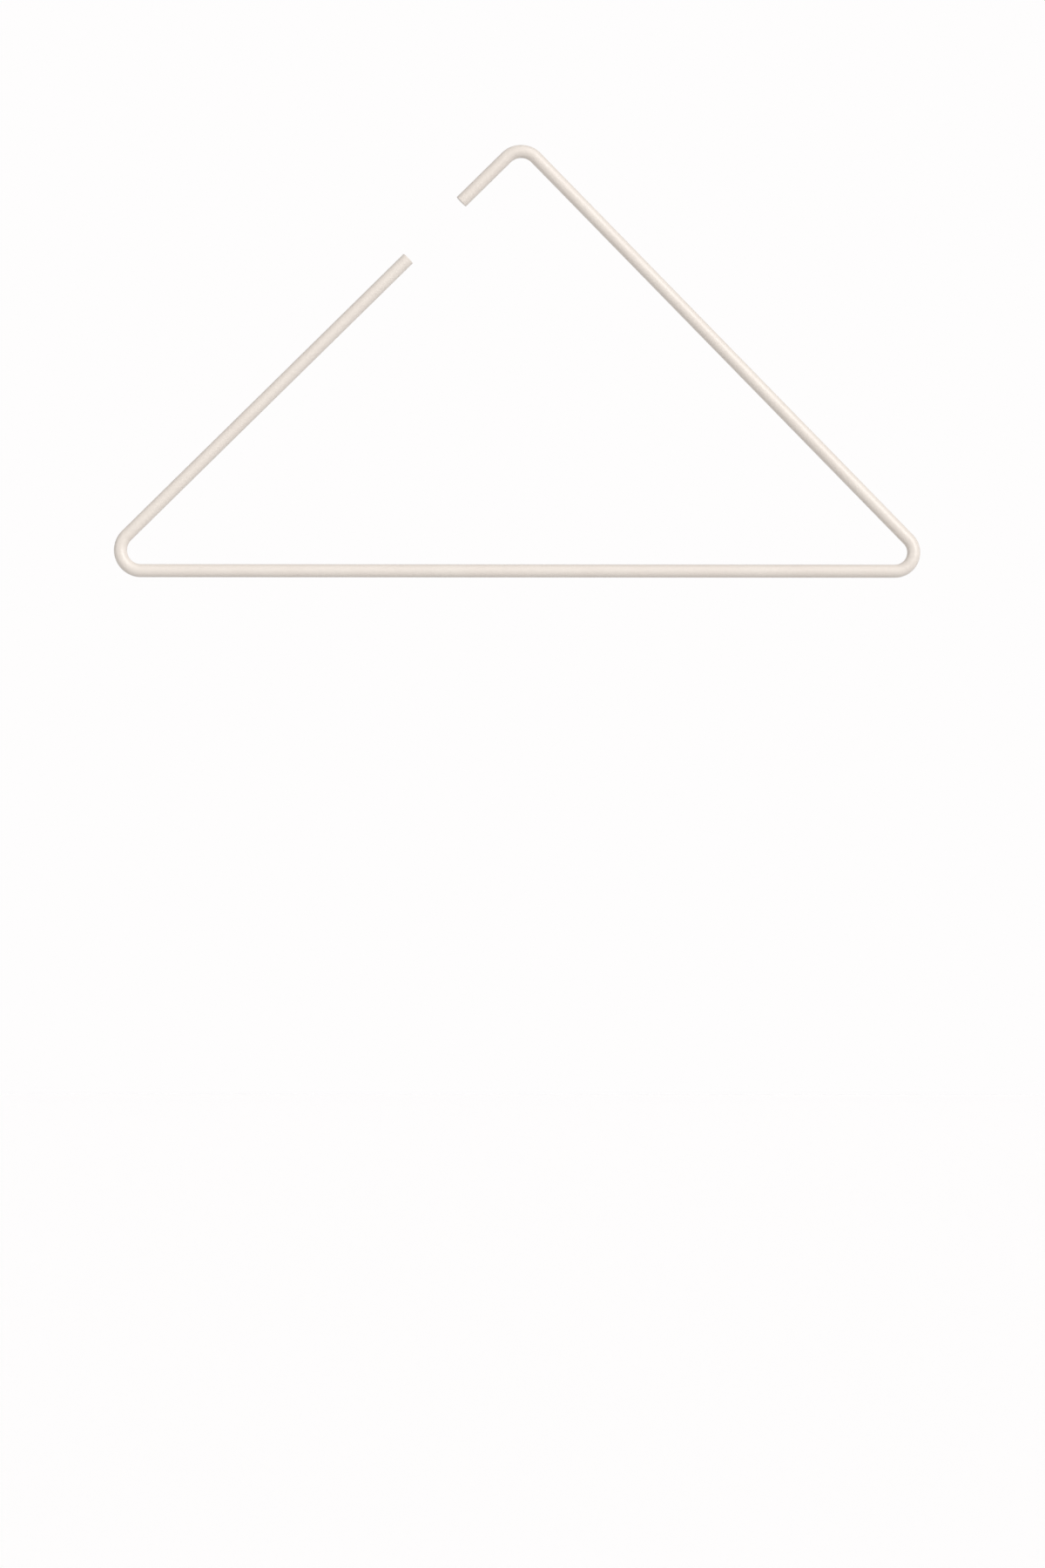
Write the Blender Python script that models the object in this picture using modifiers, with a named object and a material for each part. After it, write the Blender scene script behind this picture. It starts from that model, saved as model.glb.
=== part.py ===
"""Open triangular clothes hanger, bent cold from one round steel rod and powder coated.

The rod starts at the cut end of the long left arm, runs down to the left corner, along the
garment bar, round the right corner, up the right arm, over the apex and down the short arm to
its other cut end. The mouth between the two cut ends lets a rail in under the apex.

Metres, +Z up. X runs along the garment bar from left to right, and Y through the flat hanger.
The origin is where the hanger rests on a peg: the highest point of the hollow under the apex.
"""

import math

import bmesh
import bpy
from mathutils import Matrix, Vector

MM = 0.001

# The bar that the hanger is bent from, and the coat that is baked on all over it.
STEEL_ROD_DIAMETER = 6.35 * MM
COAT_THICKNESS = 0.075 * MM

# The outline. The angles are the inner ones between two runs, and the apex takes what is left.
OVERALL_WIDTH = 400.0 * MM
LEFT_CORNER_ANGLE = math.radians(44.55)
RIGHT_CORNER_ANGLE = math.radians(45.65)

# The radii that the bends are formed to, at the middle of the rod.
LEFT_BEND_RADIUS = 10.2 * MM
RIGHT_BEND_RADIUS = 9.3 * MM
APEX_BEND_RADIUS = 10.4 * MM

# The short arm and the mouth beside it, both measured along the left side. The rod springs back
# as it is bent, so the short arm stands a little outside the line of the left arm.
SHORT_ARM_LENGTH = 41.9 * MM
MOUTH_GAP = 38.3 * MM
SHORT_ARM_OFFSET = 1.6 * MM

# The cut ends are square, with their rims deburred before coating.
END_RIM_ROUNDING = 0.4 * MM

# How finely the round shapes are faceted.
ROD_SIDES = 32
BEND_STEP = math.radians(5.0)
RIM_SEGMENTS = 2
SHARP_EDGE_ANGLE = math.radians(40.0)
RIM_EDGE_ANGLE = math.radians(60.0)

# The rim of a cap lies on the end of the tube, so the weld between them reaches only this share
# of the rod's radius.
WELD_REACH_SHARE = 0.003

# Warm off-white polyester powder with a satin gloss.
COAT_COLOR = (0.807, 0.723, 0.638, 1.0)
COAT_ROUGHNESS = 0.42

rod_radius = STEEL_ROD_DIAMETER / 2 + COAT_THICKNESS
apex_angle = math.pi - LEFT_CORNER_ANGLE - RIGHT_CORNER_ANGLE

# Directions in the plane of the hanger, at rest.
to_right = Vector((1.0, 0.0, 0.0))
to_left = -to_right
up = Vector((0.0, 0.0, 1.0))
up_left_side = Vector((math.cos(LEFT_CORNER_ANGLE), 0.0, math.sin(LEFT_CORNER_ANGLE)))
up_right_side = Vector((-math.cos(RIGHT_CORNER_ANGLE), 0.0, math.sin(RIGHT_CORNER_ANGLE)))


def clear_scene():
    for obj in list(bpy.data.objects):
        bpy.data.objects.remove(obj, do_unlink=True)


def corner_overhang(angle, radius):
    """How far a sharp corner of the centre lines stands outside the rounded rod."""
    return radius / math.tan(angle / 2) - radius - rod_radius


def sharp_corners():
    """The left corner, right corner and apex, where the centre lines of the runs meet."""
    left_overhang = corner_overhang(LEFT_CORNER_ANGLE, LEFT_BEND_RADIUS)
    right_overhang = corner_overhang(RIGHT_CORNER_ANGLE, RIGHT_BEND_RADIUS)
    bar_length = OVERALL_WIDTH + left_overhang + right_overhang
    closed_side = bar_length * math.sin(LEFT_CORNER_ANGLE) / math.sin(apex_angle)
    right_side = closed_side + SHORT_ARM_OFFSET / math.sin(apex_angle)
    left = Vector((0.0, 0.0, 0.0))
    right = left + to_right * bar_length
    return left, right, right + up_right_side * right_side


def bend_centre(corner, first_run, next_run, radius):
    """The centre of the bend that joins two runs, each given by its direction out of the corner."""
    half_angle = first_run.angle(next_run) / 2
    return corner + (first_run + next_run).normalized() * radius / math.sin(half_angle)


def bend_points(corner, first_run, next_run, radius):
    """The centre line round a bend, from where it leaves one run to where it meets the next."""
    inner_angle = first_run.angle(next_run)
    centre = bend_centre(corner, first_run, next_run, radius)
    spoke = corner + first_run * radius / math.tan(inner_angle / 2) - centre
    axis = next_run.cross(first_run)
    turn = math.pi - inner_angle
    steps = math.ceil(turn / BEND_STEP)
    turns = [Matrix.Rotation(turn * i / steps, 3, axis) for i in range(steps + 1)]
    return [centre + rotation @ spoke for rotation in turns]


def centre_line():
    """The middle of the rod from cut end to cut end, with the hanging point at the origin."""
    left, right, apex = sharp_corners()
    short_end = apex - up_left_side * SHORT_ARM_LENGTH
    long_arm_length = (short_end - left).dot(up_left_side) - MOUTH_GAP
    points = [
        left + up_left_side * long_arm_length,
        *bend_points(left, up_left_side, to_right, LEFT_BEND_RADIUS),
        *bend_points(right, to_left, up_right_side, RIGHT_BEND_RADIUS),
        *bend_points(apex, -up_right_side, -up_left_side, APEX_BEND_RADIUS),
        short_end,
    ]
    apex_centre = bend_centre(apex, -up_right_side, -up_left_side, APEX_BEND_RADIUS)
    hanging_point = apex_centre + up * (APEX_BEND_RADIUS - rod_radius)
    return [point - hanging_point for point in points]


def rod_curve(name, points):
    """A round tube-shaped curve with capped ends along the points."""
    curve = bpy.data.curves.new(name, "CURVE")
    curve.dimensions = "3D"
    curve.bevel_depth = rod_radius
    curve.bevel_resolution = (ROD_SIDES - 4) // 2
    curve.use_fill_caps = True
    spline = curve.splines.new("POLY")
    spline.points.add(len(points) - 1)
    for spline_point, point in zip(spline.points, points):
        spline_point.co = (*point, 1.0)
    return bpy.data.objects.new(name, curve)


def mesh_of_curve(curve_object, collection):
    """The curve as a mesh of its own, with its caps welded to its sides."""
    collection.objects.link(curve_object)
    bpy.context.view_layer.update()
    evaluated = curve_object.evaluated_get(bpy.context.evaluated_depsgraph_get())
    mesh = bpy.data.meshes.new_from_object(evaluated)
    mesh.name = curve_object.name
    bpy.data.objects.remove(curve_object, do_unlink=True)
    shape = bmesh.new()
    shape.from_mesh(mesh)
    bmesh.ops.remove_doubles(shape, verts=shape.verts, dist=rod_radius * WELD_REACH_SHARE)
    shape.to_mesh(mesh)
    shape.free()
    return bpy.data.objects.new(mesh.name, mesh)


def round_end_rims(rod):
    """Rounds the rims of the two cut ends, the only edges as sharp as this on the rod."""
    rims = rod.modifiers.new("rounded_rims", "BEVEL")
    rims.limit_method = "ANGLE"
    rims.angle_limit = RIM_EDGE_ANGLE
    rims.width = END_RIM_ROUNDING
    rims.segments = RIM_SEGMENTS


def powder_coat():
    material = bpy.data.materials.new("satin_powder_coat")
    material.use_nodes = True
    shader = material.node_tree.nodes["Principled BSDF"]
    shader.inputs["Base Color"].default_value = COAT_COLOR
    shader.inputs["Roughness"].default_value = COAT_ROUGHNESS
    shader.inputs["Metallic"].default_value = 0.0
    return material


def make_hanger():
    clear_scene()
    collection = bpy.data.collections.new("metal_hanger")
    bpy.context.scene.collection.children.link(collection)
    rod = mesh_of_curve(rod_curve("bent_rod", centre_line()), collection)
    collection.objects.link(rod)
    rod.data.shade_smooth()
    rod.data.set_sharp_from_angle(angle=SHARP_EDGE_ANGLE)
    round_end_rims(rod)
    rod.data.materials.append(powder_coat())
    hanging_point = bpy.data.objects.new("hanging_point", None)
    hanging_point.empty_display_size = rod_radius
    collection.objects.link(hanging_point)
    rod.parent = hanging_point


make_hanger()
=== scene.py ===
"""The looks of an open triangular clothes hanger: one round steel rod, bent cold and powder coated.

The rod is fed and bent here as on a wire bending machine, along the same plan as the part's, but
with a finer surface. Metres, +Z up, and the hanger hangs from the origin.
"""
import math

import bmesh
import bpy
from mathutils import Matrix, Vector


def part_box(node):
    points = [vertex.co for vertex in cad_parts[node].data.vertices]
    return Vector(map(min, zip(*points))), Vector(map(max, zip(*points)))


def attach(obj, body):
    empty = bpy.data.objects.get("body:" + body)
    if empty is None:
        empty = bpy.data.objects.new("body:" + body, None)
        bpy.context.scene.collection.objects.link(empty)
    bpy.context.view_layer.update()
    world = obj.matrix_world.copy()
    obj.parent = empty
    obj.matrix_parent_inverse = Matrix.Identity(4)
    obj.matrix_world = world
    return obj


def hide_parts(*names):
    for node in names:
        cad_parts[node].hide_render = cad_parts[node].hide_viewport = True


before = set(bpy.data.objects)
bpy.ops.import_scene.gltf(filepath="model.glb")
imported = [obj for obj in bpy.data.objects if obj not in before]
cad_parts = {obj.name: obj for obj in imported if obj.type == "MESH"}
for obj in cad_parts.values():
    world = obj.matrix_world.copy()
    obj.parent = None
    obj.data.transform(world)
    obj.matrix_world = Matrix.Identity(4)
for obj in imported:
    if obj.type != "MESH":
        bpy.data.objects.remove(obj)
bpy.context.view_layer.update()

MM = 0.001

# The bending plan, as in the part: inner angles between the runs, and radii at the middle of the
# rod. The rest of the plan follows from the box of the part's rod.
LEFT_CORNER_ANGLE = math.radians(44.55)
RIGHT_CORNER_ANGLE = math.radians(45.65)
LEFT_BEND_RADIUS = 10.2 * MM
RIGHT_BEND_RADIUS = 9.3 * MM
APEX_BEND_RADIUS = 10.4 * MM
SHORT_ARM_LENGTH = 41.9 * MM
MOUTH_GAP = 38.3 * MM

# The cut ends: deburred rims, and the slight crown that the melted powder draws up on the face.
END_RIM_ROUNDING = 0.4 * MM
END_CROWN = 0.05 * MM

# How finely the surface is drawn.
ROD_SIDES = 96
RING_SPACING = 3.0 * MM
BEND_STEP = math.radians(2.0)
RIM_SEGMENTS = 5
CROWN_RINGS = 4

# The coat. Its two tones are the same powder, lying a little thinner and a little thicker.
COAT_THIN_TONE = "#E5DCD3"
COAT_THICK_TONE = "#E2D8CF"
FILM_DRIFT_SIZE = 26.0 * MM
GLOSS_DRIFT_SIZE = 7.0 * MM
SMOOTHEST_COAT = 0.35
ROUGHEST_COAT = 0.41
ORANGE_PEEL_SIZE = 1.8 * MM
ORANGE_PEEL_HEIGHT = 0.045 * MM
GRAIN_SIZE = 0.45 * MM
GRAIN_HEIGHT = 0.015 * MM
POLYESTER_IOR = 1.57

# The noise that the coat's patterns are made of: how many finer layers it has, and the span that
# its values mostly keep to.
NOISE_DETAIL = 2.0
NOISE_LOW = 0.3
NOISE_HIGH = 0.7

# The studio. Its floor lies so low that the hanger can be looked at from right below. The glow is
# what the lit paper lacks to white, and the fill is the light that the walls give.
FLOOR_DROP = 2.6
FLOOR_SIZE = 60.0
BACKGROUND_WHITE = "#FEFDFD"
FLOOR_PAPER = "#FCFCFC"
FLOOR_GLOW = "#AFADAD"
FILL_LIGHT = "#727272"

# The lamps are large diffusers, far off. Each has its turn to the right from the camera's side,
# its height above the horizon, its strength, and how wide it looks from the hanger.
LAMPS = {
    "key_lamp": (math.radians(36.0), math.radians(18.0), 1.77, math.radians(40.0)),
    "top_lamp": (math.radians(43.0), math.radians(55.0), 0.59, math.radians(40.0)),
    "front_lamp": (math.radians(15.0), 0.0, 0.62, math.radians(100.0)),
    "left_lamp": (math.radians(-58.0), math.radians(6.0), 0.76, math.radians(46.0)),
}

# One more lamp, given in the same way, stands behind the hanger and lights its back.
BACK_LAMP = (math.radians(180.0), 0.0, 1.6, math.radians(5.0))

# The camera stands level with the middle of the picture, and is turned by a hair about its axis,
# so that the hanger's right end looks a little lower.
PICTURE_HEIGHT = 777.6 * MM
PICTURE_MIDDLE = Vector((0.95 * MM, 0.0, -310.42 * MM))
LENS_MM = 100.0
SENSOR_MM = 36.0
CAMERA_ROLL = math.radians(0.045)

rod_low, rod_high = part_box("bent_rod")
rod_radius = (rod_high.y - rod_low.y) / 2

# Headings of the rod as it is fed, and the axis that all its bends turn about.
down_left_side = Vector((-math.cos(LEFT_CORNER_ANGLE), 0.0, -math.sin(LEFT_CORNER_ANGLE)))
along_bar = Vector((1.0, 0.0, 0.0))
up_right_side = Vector((-math.cos(RIGHT_CORNER_ANGLE), 0.0, math.sin(RIGHT_CORNER_ANGLE)))
turning_axis = Vector((0.0, -1.0, 0.0))

# How far each bend turns the rod.
left_turn = math.pi - LEFT_CORNER_ANGLE
right_turn = math.pi - RIGHT_CORNER_ANGLE
apex_turn = 2 * math.pi - left_turn - right_turn

# The middles of the bends: at the lower corners of the rod's box, and under the origin.
left_reach = LEFT_BEND_RADIUS + rod_radius
right_reach = RIGHT_BEND_RADIUS + rod_radius
left_centre = Vector((rod_low.x + left_reach, 0.0, rod_low.z + left_reach))
right_centre = Vector((rod_high.x - right_reach, 0.0, rod_low.z + right_reach))
apex_centre = Vector((0.0, 0.0, rod_radius - APEX_BEND_RADIUS))


def linear_color(hex_color):
    """An sRGB hex colour as Blender's linear values."""
    channels = [int(hex_color[i:i + 2], 16) / 255 for i in (1, 3, 5)]
    linear = [c / 12.92 if c <= 0.04045 else ((c + 0.055) / 1.055) ** 2.4 for c in channels]
    return (*linear, 1.0)


def socket_of(sockets, identifier):
    return next(socket for socket in sockets if socket.identifier == identifier)


def add_node(tree, kind, settings=None, links=None):
    """A new node. Settings are input values, by identifier, or properties of the node. Links give
    an input's identifier with the node that feeds it and the identifier of that node's output.
    """
    node = tree.nodes.new(kind)
    properties = [name for name in settings or {} if hasattr(node, name)]
    for name in properties:
        setattr(node, name, settings[name])
    for name in set(settings or {}) - set(properties):
        socket_of(node.inputs, name).default_value = settings[name]
    for name, (source, output) in (links or {}).items():
        tree.links.new(socket_of(source.outputs, output), socket_of(node.inputs, name))
    return node


def new_material(name):
    material = bpy.data.materials.new(name)
    material.use_nodes = True
    material.node_tree.nodes.clear()
    return material


def satin_powder_coat():
    """Polyester powder, sprayed dry on the steel and melted on in an oven.

    It gives the eye a closed, warm off-white skin that hides the steel, with a broad soft
    highlight that wavers a little on the orange peel, and no metallic glint.
    """
    material = new_material("satin_polyester_powder_coat")
    tree = material.node_tree
    place = add_node(tree, "ShaderNodeTexCoord")

    def spread(size, low, high):
        """Noise of this size, stretched to run from low to high."""
        noise = add_node(tree, "ShaderNodeTexNoise", {"Scale": 1 / size, "Detail": NOISE_DETAIL},
                         {"Vector": (place, "Object")})
        span = {"From Min": NOISE_LOW, "From Max": NOISE_HIGH, "To Min": low, "To Max": high}
        return add_node(tree, "ShaderNodeMapRange", span, {"Value": (noise, "Fac")})

    tone = add_node(
        tree, "ShaderNodeMix",
        {
            "data_type": "RGBA",
            "A_Color": linear_color(COAT_THIN_TONE),
            "B_Color": linear_color(COAT_THICK_TONE),
        },
        {"Factor_Float": (spread(FILM_DRIFT_SIZE, 0.0, 1.0), "Result")},
    )
    gloss = spread(GLOSS_DRIFT_SIZE, SMOOTHEST_COAT, ROUGHEST_COAT)

    # The melted powder's slow waves, and on them the grain of the matting agent. Both are really
    # a few thousandths of a millimetre high, and the grain a tenth of a millimetre across. They are
    # drawn higher, and the grain coarser, so that they show from close by.
    peel = add_node(tree, "ShaderNodeBump", {"Distance": ORANGE_PEEL_HEIGHT},
                    {"Height": (spread(ORANGE_PEEL_SIZE, 0.0, 1.0), "Result")})
    grain = add_node(
        tree, "ShaderNodeBump",
        {"Distance": GRAIN_HEIGHT},
        {
            "Height": (spread(GRAIN_SIZE, 0.0, 1.0), "Result"),
            "Normal": (peel, "Normal"),
        },
    )

    coat = add_node(
        tree, "ShaderNodeBsdfPrincipled",
        {"IOR": POLYESTER_IOR, "Metallic": 0.0},
        {
            "Base Color": (tone, "Result_Color"),
            "Roughness": (gloss, "Result"),
            "Normal": (grain, "Normal"),
        },
    )
    add_node(tree, "ShaderNodeOutputMaterial", links={"Surface": (coat, "BSDF")})
    return material


def feed(shape, end, heading, length):
    """Feeds the rod straight on from its open end, and returns its new open end."""
    steps = math.ceil(length / RING_SPACING)
    moved = bmesh.ops.spin(shape, geom=end, cent=(0.0, 0.0, 0.0), axis=turning_axis,
                           dvec=heading * length / steps, angle=0.0, steps=steps)
    return moved["geom_last"]


def bend(shape, end, centre, turn):
    """Bends the rod on from its open end, and returns its new open end."""
    turned = bmesh.ops.spin(shape, geom=end, cent=centre, axis=turning_axis, angle=turn,
                            steps=math.ceil(turn / BEND_STEP))
    return turned["geom_last"]


def where_bend_meets(centre, radius, heading):
    """The point of a bend's centre line where the rod has this heading."""
    return centre - turning_axis.cross(heading) * radius


def cut_faces(shape):
    """The faces of the two cut ends, which have a corner for each side of the rod."""
    return [face for face in shape.faces if len(face.verts) == ROD_SIDES]


def crown_cut_end(shape, face):
    """Draws up the coat on a cut end into a low dome of concentric rings."""
    radius = face.calc_perimeter() / (2 * math.pi)
    ring_width = radius / (CROWN_RINGS + 1)
    height = 0.0
    for ring in range(1, CROWN_RINGS + 1):
        rise = END_CROWN * (1 - (1 - ring / (CROWN_RINGS + 1)) ** 2) - height
        height += rise
        bmesh.ops.inset_region(shape, faces=[face], thickness=ring_width, depth=rise)
    bmesh.ops.poke(shape, faces=[face], offset=END_CROWN - height)


def coated_rod():
    """The whole rod, fed from the cut end of the long arm to that of the short arm."""
    apex_half_angle = (math.pi - apex_turn) / 2
    short_arm_run = SHORT_ARM_LENGTH - APEX_BEND_RADIUS / math.tan(apex_half_angle)
    short_arm_start = where_bend_meets(apex_centre, APEX_BEND_RADIUS, down_left_side)
    short_end = short_arm_start + down_left_side * short_arm_run
    long_arm_foot = where_bend_meets(left_centre, LEFT_BEND_RADIUS, down_left_side)
    long_arm_run = (long_arm_foot - short_end).dot(down_left_side) - MOUTH_GAP
    long_end = long_arm_foot - down_left_side * long_arm_run

    shape = bmesh.new()
    facing = down_left_side.to_track_quat("Z", "Y").to_matrix().to_4x4()
    facing.translation = long_end
    bmesh.ops.create_circle(shape, cap_ends=True, radius=rod_radius, segments=ROD_SIDES,
                            matrix=facing)
    end = [*shape.verts, *shape.edges]
    end = feed(shape, end, down_left_side, long_arm_run)
    end = bend(shape, end, left_centre, left_turn)
    end = feed(shape, end, along_bar, (right_centre - left_centre).dot(along_bar))
    end = bend(shape, end, right_centre, right_turn)
    end = feed(shape, end, up_right_side, (apex_centre - right_centre).dot(up_right_side))
    end = bend(shape, end, apex_centre, apex_turn)
    end = feed(shape, end, down_left_side, short_arm_run)
    bmesh.ops.contextual_create(shape, geom=end)
    bmesh.ops.recalc_face_normals(shape, faces=shape.faces)

    rims = [edge for face in cut_faces(shape) for edge in face.edges]
    bmesh.ops.bevel(shape, geom=rims, offset=END_RIM_ROUNDING, offset_type="OFFSET",
                    segments=RIM_SEGMENTS, profile=0.5, affect="EDGES", material=-1)
    for face in cut_faces(shape):
        crown_cut_end(shape, face)
    for face in shape.faces:
        face.smooth = True

    mesh = bpy.data.meshes.new("coated_rod")
    shape.to_mesh(mesh)
    shape.free()
    mesh.materials.append(satin_powder_coat())
    return add_object("coated_rod", mesh)


def add_object(name, data):
    made = bpy.data.objects.new(name, data)
    bpy.context.scene.collection.objects.link(made)
    return made


def rays_that_see_white(tree):
    """A node whose value is 1 for what the camera sees, straight or in a gloss or glass."""
    path = add_node(tree, "ShaderNodeLightPath")
    gloss = add_node(tree, "ShaderNodeMath", {"operation": "MAXIMUM"},
                     {"Value": (path, "Is Camera Ray"), "Value_001": (path, "Is Glossy Ray")})
    return add_node(tree, "ShaderNodeMath", {"operation": "MAXIMUM"},
                    {"Value": (gloss, "Value"), "Value_001": (path, "Is Transmission Ray")})


def white_floor():
    """A floor of matt white paper, with what it lacks to white added where it is seen."""
    material = new_material("matt_white_paper")
    tree = material.node_tree
    lit = add_node(tree, "ShaderNodeBsdfDiffuse", {"Color": linear_color(FLOOR_PAPER)})
    glow = add_node(tree, "ShaderNodeEmission", {"Color": linear_color(FLOOR_GLOW)},
                    {"Strength": (rays_that_see_white(tree), "Value")})
    paper = add_node(tree, "ShaderNodeAddShader",
                     links={"Shader": (lit, "BSDF"), "Shader_001": (glow, "Emission")})
    add_node(tree, "ShaderNodeOutputMaterial", links={"Surface": (paper, "Shader")})

    shape = bmesh.new()
    bmesh.ops.create_grid(shape, x_segments=1, y_segments=1, size=FLOOR_SIZE / 2)
    bmesh.ops.translate(shape, verts=shape.verts, vec=(0.0, 0.0, -FLOOR_DROP))
    mesh = bpy.data.meshes.new("floor")
    shape.to_mesh(mesh)
    shape.free()
    mesh.materials.append(material)
    add_object("floor", mesh)


def soft_lamp(name, to_the_right, height, strength, width):
    """A lamp so far off that its rays run side by side, turned to shine on the hanger."""
    data = bpy.data.lights.new(name, "SUN")
    data.energy = strength
    data.angle = width
    lamp = add_object(name, data)
    lamp.rotation_euler = (math.pi / 2 - height, 0.0, to_the_right)
    return lamp


def studio_light():
    """The lamps, in a room whose walls look white and give a weak, even fill."""
    for name, settings in LAMPS.items():
        soft_lamp(name, *settings)
    # The gloss doesn't mirror this lamp, which would glint along the rod's edges.
    soft_lamp("back_lamp", *BACK_LAMP).visible_glossy = False

    world = bpy.data.worlds.new("white_studio")
    world.use_nodes = True
    tree = world.node_tree
    tree.nodes.clear()
    wall_light = add_node(
        tree, "ShaderNodeMix",
        {
            "data_type": "RGBA",
            "A_Color": linear_color(FILL_LIGHT),
            "B_Color": linear_color(BACKGROUND_WHITE),
        },
        {"Factor_Float": (rays_that_see_white(tree), "Value")},
    )
    walls = add_node(tree, "ShaderNodeBackground", links={"Color": (wall_light, "Result_Color")})
    add_node(tree, "ShaderNodeOutputWorld", links={"Surface": (walls, "Background")})
    bpy.context.scene.world = world
    bpy.context.scene.view_settings.view_transform = "Standard"


def picture_camera():
    """A camera square to the hanger, as far off as its lens needs for the picture's height.

    The picture is upright, so the sensor's width lies along its height.
    """
    data = bpy.data.cameras.new("picture_camera")
    data.lens = LENS_MM
    data.sensor_width = SENSOR_MM
    camera = add_object("picture_camera", data)
    distance = PICTURE_HEIGHT * LENS_MM / SENSOR_MM
    camera.location = PICTURE_MIDDLE - Vector((0.0, distance, 0.0))
    camera.rotation_euler = (math.pi / 2, -CAMERA_ROLL, 0.0)
    bpy.context.scene.camera = camera


rod = coated_rod()
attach(rod, "root")
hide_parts("bent_rod")
white_floor()
studio_light()
picture_camera()
